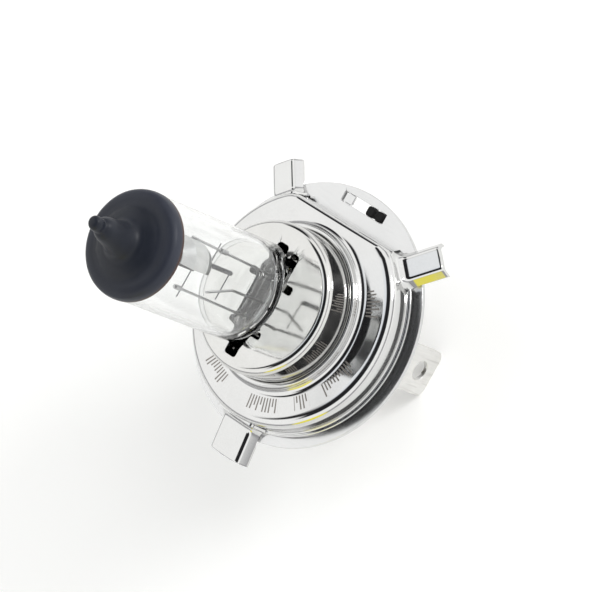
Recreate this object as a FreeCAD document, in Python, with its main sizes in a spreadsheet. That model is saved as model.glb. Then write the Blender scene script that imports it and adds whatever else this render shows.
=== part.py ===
import FreeCAD, Part
import os
import re
import Sketcher

# Twin-filament halogen headlight bulb with a three-lug prefocus base.
# Z is the reference axis and points to the glass tip.  The origin lies on that axis, in the
# front face of the flange disc.  Y points to the wide lug.  Lengths are in millimetres.

SIZES = {
    # quartz envelope
    "tube_radius": 8.4,
    "tube_wall": 0.9,
    "tube_foot_z": 19.4,
    "tube_shoulder_z": 46.1,
    "coating_edge_z": 45.6,
    "coating_thickness": 0.1,
    "nipple_radius": 1.05,
    "nipple_root_z": 49.3,
    "nipple_length": 8.2,
    "nipple_lean": 6.8,
    "tip_z": 57.5,
    "pinch_half_width": 5.9,
    "pinch_half_thickness": 1.9,
    "pinch_top_z": 14.2,
    "pinch_foot_z": -2.6,
    "cavity_floor_z": 15.4,
    # support wires, filaments and beam shield
    "wire_radius": 0.2,
    "shield_wire_y": -3.65,
    "shield_wire_tip_y": -4.45,
    "high_wire_y": 0.85,
    "high_wire_tip_y": 2.6,
    "low_wire_y": 3.9,
    "low_wire_tip_y": 3.5,
    "coil_radius": 0.3,
    "coil_wire_radius": 0.08,
    "coil_pitch": 0.28,
    "leg_radius": 0.1,
    "high_coil_y": -1.5,
    "high_coil_z": 22.8,
    "high_coil_length": 6.3,
    "high_leg_z": 28.26,
    "low_coil_z": 31.6,
    "low_coil_length": 5.04,
    "crimp_radius": 0.4,
    "shield_radius": 3.85,
    "shield_wall": 0.3,
    "shield_edge_y": -0.45,
    "shield_rear_z": 31.1,
    "shield_front_z": 39.2,
    "wire_end_z": 7.6,
    # foils and outer leads
    "foil_width": 2.2,
    "foil_thickness": 0.1,
    "foil_low_z": -0.6,
    "lead_radius": 0.4,
    "common_lead_y": -3.4,
    "high_lead_y": 0.5,
    "low_lead_y": 4.3,
    "lead_bend_z": -3.4,
    # collar cup and the spring plate inside it
    "collar_radius": 12.41,
    "collar_wall": 0.6,
    "collar_top_z": 12.65,
    "collar_rounding": 1.3,
    "slot_half_width": 2.3,
    "slot_low_y": -8.9,
    "tongue_y": -7.25,
    "slot_bar_y": 6.1,
    "slot_high_y": 10.4,
    "tail_half_width": 1.2,
    "finger_left": -0.3,
    "finger_right": 2.0,
    "bay_left": -3.0,
    "bay_right": -1.3,
    "bay_low_y": -8.35,
    "wide_notch": 4.8,
    "wide_notch_low_y": -3.7,
    "wide_notch_high_y": -2.3,
    "narrow_notch": 3.6,
    "narrow_notch_y": 4.9,
    "clamp_wall": 0.4,
    "clamp_low_z": 3.2,
    "clamp_top_z": 10.6,
    # prefocus ring and its lugs
    "sheet": 0.8,
    "neck_radius": 12.45,
    "neck_top_z": 6.75,
    "pan_top_z": 5.0,
    "shoulder_rounding": 1.7,
    "pan_wall_radius": 19.2,
    "foot_radius": 19.9,
    "chord_y": -15.9,
    "lug_tip_radius": 25.9,
    "lug_root_radius": 18.3,
    "lug_crown_z": 1.85,
    "lug_slope": 10.0,
    "lug_drop": 1.0,
    "lug_shoulder": 1.2,
    "wide_lug_width": 8.0,
    "narrow_lug_width": 5.7,
    "narrow_lug_angle": 46.5,
    # flange disc
    "flange_radius": 21.5,
    "barrel_seat_gap": 0.1,
    "barrel_seat_depth": 0.1,
    "window_left": -4.4,
    "window_right": 4.9,
    "window_low_y": -20.05,
    "window_high_y": -18.3,
    # rear barrel, insulator and terminals
    "barrel_radius": 13.2,
    "barrel_end_z": -9.5,
    "insulator_top_z": -5.6,
    "blade_width": 8.0,
    "blade_thickness": 0.8,
    "blade_end_z": -24.5,
    "blade_corner": 1.6,
    "side_blade_x": 10.0,
    "top_blade_y": 9.2,
    "detent_radius": 1.7,
    "detent_from_end": 3.9,
    "foot_length": 4.6,
    "rivet_radius": 1.0,
    "rivet_head_radius": 1.7,
    "rivet_head": 0.5,
    "foot_clearance": 0.1,
}

doc = FreeCAD.newDocument("headlight_bulb")
sheet = doc.addObject("Spreadsheet::Sheet", "Sizes")
for row, (alias, size) in enumerate(SIZES.items(), 1):
    sheet.set(f"A{row}", alias.replace("_", " "))
    sheet.set(f"B{row}", str(size))
    sheet.setAlias(f"B{row}", alias)
doc.recompute()

nodes = []


def in_sheet(formula):
    """The formula with each alias written as a cell of the sheet."""
    def cell(word):
        return "Sizes." + word[0] if word[0] in SIZES else word[0]
    return re.sub(r"[a-z][a-z_]*", cell, str(formula))


def value(formula):
    return float(sheet.evalExpression(in_sheet(formula)))


def bind(thing, formulas):
    """Drive properties of an object by formulas on the sheet."""
    for name, formula in formulas.items():
        thing.setExpression(name, in_sheet(formula))
    return thing


def place(thing, x=0, y=0, z=0):
    return bind(thing, {"Placement.Base.x": x, "Placement.Base.y": y, "Placement.Base.z": z})


def draw(sketch, corners, closed=True):
    """Straight outline whose corners are held at distances from the sheet."""
    points = [FreeCAD.Vector(value(a), value(b), 0) for a, b in corners]
    last = len(points) if closed else len(points) - 1
    for k in range(last):
        sketch.addGeometry(Part.LineSegment(points[k], points[(k + 1) % len(points)]), False)
    for k in range(1, last):
        sketch.addConstraint(Sketcher.Constraint("Coincident", k - 1, 2, k, 1))
    if closed:
        sketch.addConstraint(Sketcher.Constraint("Coincident", last - 1, 2, 0, 1))
    for k, corner in enumerate(corners):
        line, end = (k, 1) if k < last else (k - 1, 2)
        for kind, formula in zip(("DistanceX", "DistanceY"), corner):
            rule = Sketcher.Constraint(kind, -1, 1, line, end, value(formula))
            sketch.setExpression(f"Constraints[{sketch.addConstraint(rule)}]", in_sheet(formula))


def body_with(name, plane, corners):
    """A PartDesign body and an outline on one of its origin planes."""
    body = doc.addObject("PartDesign::Body", name)
    sketch = body.newObject("Sketcher::SketchObject", name + "_outline")
    origin = [f for f in body.Origin.OriginFeatures if f.Role == plane][0]
    sketch.AttachmentSupport = [(origin, "")]
    sketch.MapMode = "FlatFace"
    draw(sketch, corners)
    return body, sketch


def turned(name, corners, roundings=()):
    """A body turned about Z from an outline of radius and height."""
    body, sketch = body_with(name, "XZ_Plane", corners)
    turn = body.newObject("PartDesign::Revolution", name + "_turn")
    turn.Profile = sketch
    turn.ReferenceAxis = (sketch, ["V_Axis"])
    turn.Angle = 360
    doc.recompute()
    for number, (radius, height, rounding) in enumerate(roundings):
        soften(body, f"{name}_round_{number}", rounding,
               lambda edge: circle_at(edge, value(radius), value(height)))
    return body


def pressed(name, plane, corners, length, roundings=()):
    """A body padded both ways from an outline on an origin plane."""
    body, sketch = body_with(name, plane, corners)
    pad = body.newObject("PartDesign::Pad", name + "_pad")
    pad.Profile = sketch
    pad.SideType = "Symmetric"
    bind(pad, {"Length": length})
    doc.recompute()
    for number, (corner, rounding) in enumerate(roundings):
        a, b = (value(formula) for formula in corner)
        soften(body, f"{name}_round_{number}", rounding,
               lambda edge: line_at(edge, plane, a, b))
    return body


def circle_at(edge, radius, height):
    curve = edge.Curve
    return (isinstance(curve, Part.Circle) and abs(curve.Radius - radius) < 1e-4
            and abs(curve.Center.z - height) < 1e-4)


def line_at(edge, plane, a, b):
    """True for a straight edge that stands on a plane's point (a, b)."""
    if not isinstance(edge.Curve, Part.Line):
        return False
    ends = [vertex.Point for vertex in edge.Vertexes]
    axes = {"XZ_Plane": ("x", "z"), "YZ_Plane": ("y", "z"), "XY_Plane": ("x", "y")}[plane]
    return all(abs(getattr(end, axes[0]) - a) + abs(getattr(end, axes[1]) - b) < 1e-4
               for end in ends)


def soften(body, name, rounding, wanted):
    """Fillet the edges of the body's tip that a test picks."""
    tip = body.Tip
    edges = [f"Edge{k}" for k, edge in enumerate(tip.Shape.Edges, 1) if wanted(edge)]
    if not edges:
        raise RuntimeError(f"{name}: no edge to round")
    fillet = body.newObject("PartDesign::Fillet", name)
    fillet.Base = (tip, edges)
    bind(fillet, {"Radius": rounding})
    doc.recompute()


def cylinder(name, radius, low, high, x=0, y=0):
    thing = doc.addObject("Part::Cylinder", name)
    bind(thing, {"Radius": radius, "Height": f"({high}) - ({low})"})
    return place(thing, x, y, low)


def block(name, xs, ys, zs):
    """A box between two formulas on each axis."""
    thing = doc.addObject("Part::Box", name)
    spans = zip(("Length", "Width", "Height"), (xs, ys, zs))
    bind(thing, {side: f"({high}) - ({low})" for side, (low, high) in spans})
    return place(thing, xs[0], ys[0], zs[0])


def joined(name, things):
    fuse = doc.addObject("Part::MultiFuse", name)
    fuse.Shapes = things
    return fuse


def cut(name, base, tool):
    result = doc.addObject("Part::Cut", name)
    result.Base = base
    result.Tool = joined(name + "_tools", tool) if isinstance(tool, list) else tool
    return result


def shared(name, one, other):
    common = doc.addObject("Part::Common", name)
    common.Base = one
    common.Tool = other
    return common


def node(label, thing):
    """Mark a finished sub-part: its label names its file."""
    thing.Label = label
    nodes.append(thing)
    return thing


# Quartz tube: a turned outside and a turned cavity, both flattened towards the pinch.

def flattened(name, radius, floor, half_width, half_thickness, head):
    """Turned form narrowed in X to a flat bar below the tube's foot."""
    round_form = turned(name + "_round", [
        (0, floor), (half_width, floor), (half_width, "pinch_top_z + 0.6"),
        (radius, "tube_foot_z")] + head, [(radius, "tube_foot_z", 3)])
    low, bend, foot, high = floor, "pinch_top_z - 0.3", "tube_foot_z + 1.4", "tip_z + 1"
    wide = f"{radius} + 0.5"
    flat_form = pressed(name + "_flat", "XZ_Plane", [
        (f"-({half_thickness})", low), (half_thickness, low), (half_thickness, bend),
        (wide, foot), (wide, high), (f"-({wide})", high), (f"-({wide})", foot),
        (f"-({half_thickness})", bend)], "3 * tube_radius",
        [((half_thickness, bend), 2.5), ((f"-({half_thickness})", bend), 2.5)])
    return shared(name, round_form, flat_form)


def dome(name, grow, foot_z):
    """Low dome and leaning tip-off nipple, thickened by a coating."""
    radius, top = f"tube_radius + {grow}", f"tube_shoulder_z + {grow}"
    cap = turned(name + "_cap", [
        (0, foot_z), (radius, foot_z), (radius, "tube_shoulder_z"), (5.8, f"{top} + 2.2"),
        (3.2, f"{top} + 3.4"), (0, f"{top} + 3.9")],
        [(radius, "tube_shoulder_z", 1), (5.8, f"{top} + 2.2", 4)])
    slim, end = f"nipple_radius + {grow}", f"nipple_length + {grow}"
    nipple = turned(name + "_nipple", [
        (0, 0), (f"2.9 + {grow}", 0), (f"2.3 + {grow}", 2), (f"1.9 + {grow}", 4.3),
        (slim, 5.9), (slim, end), (0, end)],
        [(f"2.3 + {grow}", 2, 3), (slim, end, "nipple_radius - 0.05")])
    nipple.Placement.Rotation = FreeCAD.Rotation(FreeCAD.Vector(1, 0, 0), value("nipple_lean"))
    return joined(name, [cap, place(nipple, 0, 0, "nipple_root_z")])


head = dome("head", "0", "coating_edge_z - 4")
lower = flattened("lower", "tube_radius", "pinch_foot_z", "pinch_half_width",
                  "pinch_half_thickness", [("tube_radius", "coating_edge_z - 3"),
                                           (0, "coating_edge_z - 3")])
cavity_radius = "(tube_radius - tube_wall)"
cavity_low = turned("cavity_round", [
    (0, "cavity_floor_z"), ("pinch_half_width - 0.5", "cavity_floor_z"),
    (cavity_radius, "tube_foot_z + 0.6"), (cavity_radius, "tube_shoulder_z - 0.3"),
    (5.2, "tube_shoulder_z + 1.3"), (1.6, "tube_shoulder_z + 2.9"),
    (0.5, "tube_shoulder_z + 6"), (0, "tube_shoulder_z + 6")])
cavity_flat = pressed("cavity_flat", "XZ_Plane", [
    (-1, "cavity_floor_z"), (1, "cavity_floor_z"), (9, "tube_foot_z + 3.6"), (9, "tip_z"),
    (-9, "tip_z"), (-9, "tube_foot_z + 3.6")], "3 * tube_radius")
cavity = shared("cavity", cavity_low, cavity_flat)


# Support wires: bent in the plane of the filaments and sealed into the pinch.

def bent_wire(name, stations, radius="wire_radius"):
    """A round wire swept along a bent line in the Y-Z plane that starts upright."""
    path = doc.addObject("Sketcher::SketchObject", name + "_path")
    path.Placement = FreeCAD.Placement(FreeCAD.Vector(), FreeCAD.Rotation(
        FreeCAD.Vector(0, 1, 0), FreeCAD.Vector(0, 0, 1), FreeCAD.Vector(1, 0, 0), "XYZ"))
    draw(path, stations, closed=False)
    section = doc.addObject("Part::Circle", name + "_section")
    bind(section, {"Radius": radius})
    place(section, 0, *stations[0])
    doc.recompute()
    sweep = doc.addObject("Part::Sweep", name + "_sweep")
    sweep.Sections = [section]
    sweep.Spine = (path, [f"Edge{k + 1}" for k in range(len(stations) - 1)])
    sweep.Solid = True
    sweep.Transition = "Right corner"
    return sweep


shield_top_z = "shield_rear_z + 4.5"
wires = {
    "shield_support_wire": bent_wire("shield_support_wire", [
        ("shield_wire_y", "wire_end_z"), ("shield_wire_y", "cavity_floor_z"),
        ("shield_wire_tip_y", shield_top_z)]),
    "high_beam_support_wire": bent_wire("high_beam_support_wire", [
        ("high_wire_y", "wire_end_z"), ("high_wire_y", 20.5), ("high_wire_tip_y", 26.1)]),
    "low_beam_support_wire": bent_wire("low_beam_support_wire", [
        ("low_wire_y", "wire_end_z"), ("low_wire_y", "cavity_floor_z"),
        ("low_wire_tip_y", 33.8)]),
}
for label, wire in wires.items():
    node(label, wire)


# Foils: thin strips in the pinch that carry the current through the seal.

def foil(label, y):
    half = "foil_width / 2"
    return node(label, block(label + "_strip", ("-foil_thickness / 2", "foil_thickness / 2"),
                             (f"{y} - {half}", f"{y} + {half}"), ("foil_low_z", "wire_end_z")))


foils = [foil("common_foil", "shield_wire_y - 0.2"), foil("high_beam_foil", "high_wire_y - 0.2"),
         foil("low_beam_foil", "low_wire_y + 0.2")]


# Outer leads: from the foils down to the feet of the blades.

def side_lead(label, y, side):
    """A lead that drops from the pinch, crosses sideways and stands on a side blade's foot."""
    reach = f"{side} * (side_blade_x - foot_length)"
    drop = cylinder(label + "_drop", "lead_radius", "lead_bend_z", "foil_low_z", 0, y)
    across = doc.addObject("Part::Cylinder", label + "_across")
    bind(across, {"Radius": "lead_radius", "Height": f"abs({reach})"})
    across.Placement.Rotation = FreeCAD.Rotation(FreeCAD.Vector(0, 1, 0), 90)
    place(across, f"min(0; {reach})", y, "lead_bend_z")
    stand = cylinder(label + "_stand", "lead_radius", "insulator_top_z + blade_thickness",
                     "lead_bend_z", reach, y)
    corners = []
    for end, x in (("inner", 0), ("outer", reach)):
        ball = doc.addObject("Part::Sphere", f"{label}_{end}_bend")
        bind(ball, {"Radius": "lead_radius"})
        corners.append(place(ball, x, y, "lead_bend_z"))
    return node(label, joined(label + "_lead", [drop, across, stand] + corners))


leads = [side_lead("common_lead", "common_lead_y", -1), side_lead("high_beam_lead", "high_lead_y", 1)]
leads.append(node("low_beam_lead", cylinder("low_lead", "lead_radius",
                                            "insulator_top_z + blade_thickness",
                                            "foil_low_z", 0, "low_lead_y")))

glass = cut("glass", joined("glass_outside", [head, lower]),
            [cavity] + list(wires.values()) + foils + leads)
node("glass_envelope", glass)

# Coating: a thin matt skin on the dome and the nipple.

coat_outside = dome("coat_outside", "coating_thickness", "coating_edge_z")
node("tip_coating", cut("coat", coat_outside, head))

# Beam shield: half of a small closed cup, open towards the upper side of the beam.

def cup(name, inset):
    radius = f"shield_radius - {inset}"
    return turned(name, [
        (0, f"shield_rear_z + {inset}"), (1.9, f"shield_rear_z + {inset}"),
        (f"{radius} - 0.5", f"shield_rear_z + 0.9 + {inset}"), (radius, "shield_rear_z + 2.3"),
        (radius, "shield_front_z - 2.4"),
        (f"{radius} - 1.2", f"shield_front_z - 0.5 - {inset}"), (0, f"shield_front_z - {inset}")])


shield_shell = cut("shield_shell", cup("shield_outside", "0"), cup("shield_inside", "shield_wall"))
shield_half = cut("shield_half", shield_shell, block(
    "shield_mouth", ("-2 * shield_radius", "2 * shield_radius"), (0, "2 * shield_radius"),
    ("shield_rear_z - 1", "shield_front_z + 1")))
place(shield_half, 0, "shield_edge_y", 0)
node("beam_shield", cut("shield", shield_half, wires["shield_support_wire"]))


# Filaments: fine coils with one leg at each end, welded beside the support wires.

def filament(label, y, low, length, rear_leg, front_leg, front_z):
    spine = doc.addObject("Part::Helix", label + "_line")
    bind(spine, {"Radius": "coil_radius", "Pitch": "coil_pitch", "Height": length})
    place(spine, 0, y, low)
    section = doc.addObject("Part::Circle", label + "_section")
    bind(section, {"Radius": "coil_wire_radius"})
    section.Placement.Rotation = FreeCAD.Rotation(FreeCAD.Vector(1, 0, 0), -90)
    place(section, "coil_radius", y, low)
    doc.recompute()
    coil = doc.addObject("Part::Sweep", label + "_coil")
    coil.Sections = [section]
    coil.Spine = (spine, ["Edge1"])
    coil.Solid = True
    coil.Frenet = True
    legs = []
    for end, z, reach in (("rear", low, rear_leg), ("front", front_z, front_leg)):
        leg = doc.addObject("Part::Cylinder", f"{label}_{end}_leg")
        turn = -90 if value(reach) > value(y) else 90
        leg.Placement.Rotation = FreeCAD.Rotation(FreeCAD.Vector(1, 0, 0), turn)
        bind(leg, {"Radius": "leg_radius", "Height": f"abs({reach} - ({y}))"})
        legs.append(place(leg, "coil_radius", y, z))
    return node(label, joined(label + "_whole", [coil] + legs))


filament("high_beam_filament", "high_coil_y", "high_coil_z", "high_coil_length",
         "high_wire_tip_y + 0.6", "shield_wire_tip_y - 0.7", "high_leg_z")
filament("low_beam_filament", 0, "low_coil_z", "low_coil_length", "low_wire_tip_y + 1.5",
         "shield_edge_y - shield_radius + 0.6", "low_coil_z + low_coil_length")

# Crimp sleeves: short tubes on the wires where the filament legs are held.

sleeve = cylinder("common_crimp", "crimp_radius", "high_leg_z - 2", "high_leg_z - 0.4", 0,
                  "shield_wire_y - 0.5")
low_sleeve = cylinder("low_crimp", "crimp_radius", "low_coil_z + 0.5", "low_coil_z + 1.9", 0,
                      "low_wire_tip_y + 0.03")
node("filament_crimps", cut("crimps", joined("crimp_blanks", [sleeve, low_sleeve]), [
    wires["shield_support_wire"], wires["low_beam_support_wire"]]))

# Collar cup: drawn sheet with a notched slot in its top face for the pinch.

collar_outside = turned("collar_outside", [
    (0, "-sheet / 2"), ("collar_radius", "-sheet / 2"), ("collar_radius", "collar_top_z"),
    (0, "collar_top_z")], [("collar_radius", "collar_top_z", "collar_rounding")])
collar_inside = turned("collar_inside", [
    (0, "-2 * sheet"), ("collar_radius - collar_wall", "-2 * sheet"),
    ("collar_radius - collar_wall", "collar_top_z - collar_wall"),
    (0, "collar_top_z - collar_wall")],
    [("collar_radius - collar_wall", "collar_top_z - collar_wall",
      "collar_rounding - collar_wall")])
slot_z = ("collar_top_z - 3", "collar_top_z + 1")


def opening(name, left, right, low_y, high_y, corner=0.4):
    """A round-cornered opening through the cup's face."""
    return pressed(name, "XY_Plane", [
        (left, low_y), (right, low_y), (right, high_y), (left, high_y)],
        "4 * collar_top_z", [((x, y), corner) for x in (left, right) for y in (low_y, high_y)])


openings = [
    opening("slot_bar", "-slot_half_width", "slot_half_width", "tongue_y", "slot_bar_y"),
    opening("slot_tail", "-tail_half_width", "tail_half_width", "narrow_notch_y", "slot_high_y"),
    opening("slot_bay", "bay_left", 0, "tongue_y", "wide_notch_high_y"),
    opening("bay_finger", "bay_left", "bay_right", "bay_low_y", "tongue_y + 1"),
    opening("slot_finger", "finger_left", "finger_right", "slot_low_y", "tongue_y + 1", 0.7),
    opening("wide_cross", "-wide_notch", "wide_notch", "wide_notch_low_y", "wide_notch_high_y"),
    opening("narrow_cross", "-narrow_notch", "narrow_notch", "narrow_notch_y", "slot_bar_y")]
slot_limits = block("slot_limits", ("-collar_radius", "collar_radius"),
                    ("-collar_radius", "collar_radius"), slot_z)
collar_slot = shared("collar_slot", joined("slot_outline", openings), slot_limits)
node("collar_cup", cut("collar", cut("collar_shell", collar_outside, collar_inside),
                       collar_slot))

# Pinch clamp: a spring plate across the collar with a sleeve that grips the pinch.

grip = ("pinch_half_thickness", "pinch_half_width")
clamp_plate = cylinder("clamp_plate", "collar_radius - collar_wall", "clamp_low_z",
                       "clamp_low_z + clamp_wall")
clamp_sleeve = block("clamp_sleeve", *[
    (f"-{half} - clamp_wall", f"{half} + clamp_wall") for half in grip],
    ("clamp_low_z", "clamp_top_z"))
clamp_hole = block("clamp_hole", *[(f"-{half}", half) for half in grip],
                   ("clamp_low_z - 1", "clamp_top_z + 1"))
node("pinch_clamp", cut("clamp", joined("clamp_blank", [clamp_plate, clamp_sleeve]), clamp_hole))

# Prefocus ring: a pressed pan, trimmed by a chord, with an upturned neck and three lugs.

pan_outside = turned("pan_outside", [
    ("neck_radius", 0), ("neck_radius", "neck_top_z"), ("neck_radius + sheet", "neck_top_z"),
    ("neck_radius + sheet", "pan_top_z"), ("pan_wall_radius", "pan_top_z"),
    ("pan_wall_radius", "1.1 * sheet"), ("foot_radius", "1.1 * sheet"), ("foot_radius", 0)],
    [("pan_wall_radius", "pan_top_z", "shoulder_rounding"),
     ("neck_radius + sheet", "pan_top_z", 0.5), ("neck_radius + sheet", "neck_top_z", 0.35)])
pan_inside = turned("pan_inside", [
    ("neck_radius - 1", -1), ("neck_radius - 1", "pan_top_z - sheet"),
    ("pan_wall_radius - sheet", "pan_top_z - sheet"), ("pan_wall_radius - sheet", -1)],
    [("pan_wall_radius - sheet", "pan_top_z - sheet", "shoulder_rounding - sheet")])


def beyond_chord(name, inset):
    """The half-space outside the chord, set in by a wall."""
    return block(name, ("-2 * foot_radius", "2 * foot_radius"),
                 ("-2 * foot_radius", f"chord_y + {inset}"), (-5, "2 * neck_top_z"))


def lug(name, width, angle):
    """An arched channel along a radius, with a round tip and a flat crown."""
    side, edge = f"{width} / 2", "lug_crown_z - lug_drop"
    body, sketch = body_with(name, "XZ_Plane", [
        (f"-{side}", edge), (f"-{side} + lug_shoulder", "lug_crown_z"),
        (f"{side} - lug_shoulder", "lug_crown_z"), (side, edge), (side, f"{edge} - sheet"),
        (f"{side} - lug_shoulder", "lug_crown_z - sheet"),
        (f"-{side} + lug_shoulder", "lug_crown_z - sheet"), (f"-{side}", f"{edge} - sheet")])
    pad = body.newObject("PartDesign::Pad", name + "_pad")
    pad.Profile = sketch
    pad.Reversed = True
    bind(pad, {"Length": "lug_tip_radius + 1"})
    doc.recompute()
    for number, (x, z, rounding) in enumerate([
            (f"{sign}({side} - lug_shoulder)", "lug_crown_z", 0.7) for sign in ("-", "")]):
        soften(body, f"{name}_crown_{number}", rounding,
               lambda edge: line_at(edge, "XZ_Plane", value(x), value(z)))
    body.Placement.Rotation = FreeCAD.Rotation(FreeCAD.Vector(1, 0, 0), -value("lug_slope"))
    place(body, 0, "flange_radius * (1 - cos(lug_slope))", "flange_radius * sin(lug_slope)")
    tube = cut(name + "_reach", cylinder(name + "_tip", "lug_tip_radius", -2, "2 * pan_top_z"),
               cylinder(name + "_root", "lug_root_radius", -3, "3 * pan_top_z"))
    arm = shared(name + "_arm", body, tube)
    arm.Placement.Rotation = FreeCAD.Rotation(FreeCAD.Vector(0, 0, 1), angle)
    return arm


pan_outer = cut("pan_outer", pan_outside, beyond_chord("outer_chord", 0))
pan_inner = cut("pan_inner", pan_inside, beyond_chord("inner_chord", "sheet"))
pan = cut("pan", pan_outer, pan_inner)
lugs = [lug("wide_lug", "wide_lug_width", 0),
        lug("left_lug", "narrow_lug_width", 90 + value("narrow_lug_angle")),
        lug("right_lug", "narrow_lug_width", -90 - value("narrow_lug_angle"))]
node("prefocus_ring", joined("ring", [pan] + lugs))

# Flange disc: flat plate behind the ring, with a window in the segment the ring leaves free.
# The barrel stands in a shallow seat in its rear face.

window = block("window", ("window_left", "window_right"), ("window_low_y", "window_high_y"),
               (-2, 2))
flange_blank = cylinder("flange_blank", "flange_radius", "-sheet", 0)
flange_bore = cylinder("flange_bore", "neck_radius", "-2 * sheet", "sheet")
barrel_top_z = "-sheet + barrel_seat_depth"
barrel_seat = cylinder("barrel_seat", "barrel_radius + barrel_seat_gap", "-2 * sheet", barrel_top_z)
node("flange_disc", cut("flange", flange_blank, [flange_bore, barrel_seat, window]))

studs = [block(f"stud_{k}", (f"window_left + {0.1 + 1.9 * k}", f"window_left + {1.8 + 1.9 * k}"),
               ("window_low_y", "window_high_y"), ("-sheet", 0.35)) for k in range(2)]
node("slot_studs", joined("studs", studs))
node("slot_tab", block("tab", ("window_right - 2.2", "window_right"),
                       ("window_low_y", "window_high_y"), ("-sheet", "-sheet / 2")))

# Base shell: short drawn barrel behind the flange, with a lip that holds the insulator.

lip_radius = "barrel_radius - sheet - 0.7"
node("base_shell", turned("barrel", [
    (lip_radius, "barrel_end_z"), ("barrel_radius", "barrel_end_z"),
    ("barrel_radius", barrel_top_z), ("barrel_radius - sheet", barrel_top_z),
    ("barrel_radius - sheet", "barrel_end_z + sheet"),
    (lip_radius, "barrel_end_z + sheet")], [("barrel_radius", "barrel_end_z", 0.6)]))

# Terminal blades: flat strips with rounded ends and a detent hole, each bent into a foot.

half_blade = "blade_width / 2"
foot_z = ("insulator_top_z", "insulator_top_z + blade_thickness")


def blade(label, turn, standing, foot_end):
    """A blade that stands at a distance from the axis, with its foot turned inwards."""
    strip = pressed(label + "_strip", "YZ_Plane", [
        (f"-{half_blade}", "blade_end_z"), (half_blade, "blade_end_z"),
        (half_blade, foot_z[1]), (f"-{half_blade}", foot_z[1])], "blade_thickness",
        [((f"{sign}{half_blade}", "blade_end_z"), "blade_corner") for sign in ("-", "")])
    place(strip, standing, 0, 0)
    foot = block(label + "_foot", (foot_end, standing), (f"-{half_blade}", half_blade), foot_z)
    hole = doc.addObject("Part::Cylinder", label + "_hole")
    hole.Placement.Rotation = FreeCAD.Rotation(FreeCAD.Vector(0, 1, 0), 90)
    bind(hole, {"Radius": "detent_radius", "Height": "4 * blade_thickness"})
    place(hole, f"{standing} - 2 * blade_thickness", 0, "blade_end_z + detent_from_end")
    eye = cylinder(label + "_eye", "rivet_radius", "insulator_top_z - 1", "insulator_top_z + 3",
                   f"({standing} + {foot_end}) / 2")
    whole = cut(label + "_blade", joined(label + "_blank", [strip, foot]), [hole, eye])
    whole.Placement.Rotation = FreeCAD.Rotation(FreeCAD.Vector(0, 0, 1), turn)
    return node(label, whole)


side_foot = "side_blade_x - foot_length"
blades = [blade("blade_right", 0, "side_blade_x", side_foot),
          blade("blade_left", 180, "side_blade_x", side_foot),
          blade("blade_top", 90, "top_blade_y", "top_blade_y - 5.1")]

# Terminal rivets: one through each foot and the insulator, headed on both sides.

insulator_low_z = "barrel_end_z + sheet"
rivet_spots = [(f"{side} * (side_blade_x - foot_length / 2)", 0) for side in (1, -1)]
rivet_spots.append((0, "top_blade_y - 2.55"))
rivet_parts = []
shanks = []
for number, (x, y) in enumerate(rivet_spots):
    shank = cylinder(f"rivet_{number}", "rivet_radius", insulator_low_z, foot_z[1], x, y)
    heads = [cylinder(f"rivet_{number}_rear", "rivet_head_radius",
                      f"{insulator_low_z} - rivet_head", insulator_low_z, x, y),
             cylinder(f"rivet_{number}_front", "rivet_head_radius", foot_z[1],
                      f"{foot_z[1]} + rivet_head", x, y)]
    shanks.append(shank)
    rivet_parts.append(joined(f"rivet_{number}_whole", [shank] + heads))
node("terminal_rivets", joined("rivets", rivet_parts))

# Insulator: moulded disc in the barrel, slotted for the blades.

insulator_disc = turned("insulator_disc", [
    (0, insulator_low_z), ("barrel_radius - sheet", insulator_low_z),
    ("barrel_radius - sheet", "insulator_top_z"), (0, "insulator_top_z")])
boss = turned("boss", [(0, "barrel_end_z - 0.4"), (3.6, "barrel_end_z - 0.4"),
                       (4.2, insulator_low_z), (0, insulator_low_z)])
gap = "blade_thickness / 2 + foot_clearance"
side_slots = [block(f"blade_slot_{k}", (f"{side} * side_blade_x - ({gap})",
                                        f"{side} * side_blade_x + {gap}"),
                    (f"-{half_blade} - foot_clearance", f"{half_blade} + foot_clearance"),
                    ("barrel_end_z - 1", "insulator_top_z + 1"))
              for k, side in enumerate((1, -1))]
top_slot = block("top_slot", (f"-{half_blade} - foot_clearance", f"{half_blade} + foot_clearance"),
                 (f"top_blade_y - ({gap})", f"top_blade_y + {gap}"),
                 ("barrel_end_z - 1", "insulator_top_z + 1"))
node("insulator", cut("insulator_plug", joined("insulator_blank", [insulator_disc, boss]),
                      side_slots + [top_slot] + shanks))

# Solder joints: a low cone round the foot of each lead.

lead_spots = [(f"-({side_foot})", "common_lead_y"), (side_foot, "high_lead_y"), (0, "low_lead_y")]
cones = []
for number, (x, y) in enumerate(lead_spots):
    cone = doc.addObject("Part::Cone", f"solder_{number}")
    bind(cone, {"Radius1": "3 * lead_radius / 2", "Radius2": "lead_radius", "Height": 0.7})
    cones.append(place(cone, x, y, foot_z[1]))
node("solder_joints", cut("solder", joined("solder_cones", cones), leads))

doc.recompute()
for thing in doc.Objects:
    if "Invalid" in thing.State or "Error" in thing.State:
        raise RuntimeError(f"{thing.Label} did not rebuild: {thing.State}")

os.makedirs("parts", exist_ok=True)
for thing in nodes:
    shape = thing.Shape
    if shape.isNull() or not shape.isValid() or not shape.Solids:
        raise RuntimeError(f"{thing.Label} has no valid solid")
    shape.exportStep(f"parts/{thing.Label}.step")
    print(f"{thing.Label:26s} solids {len(shape.Solids)}  volume {shape.Volume:9.3f} mm3")
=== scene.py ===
import math

import bmesh
import bpy
import numpy as np
from mathutils import Matrix, Vector


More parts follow.
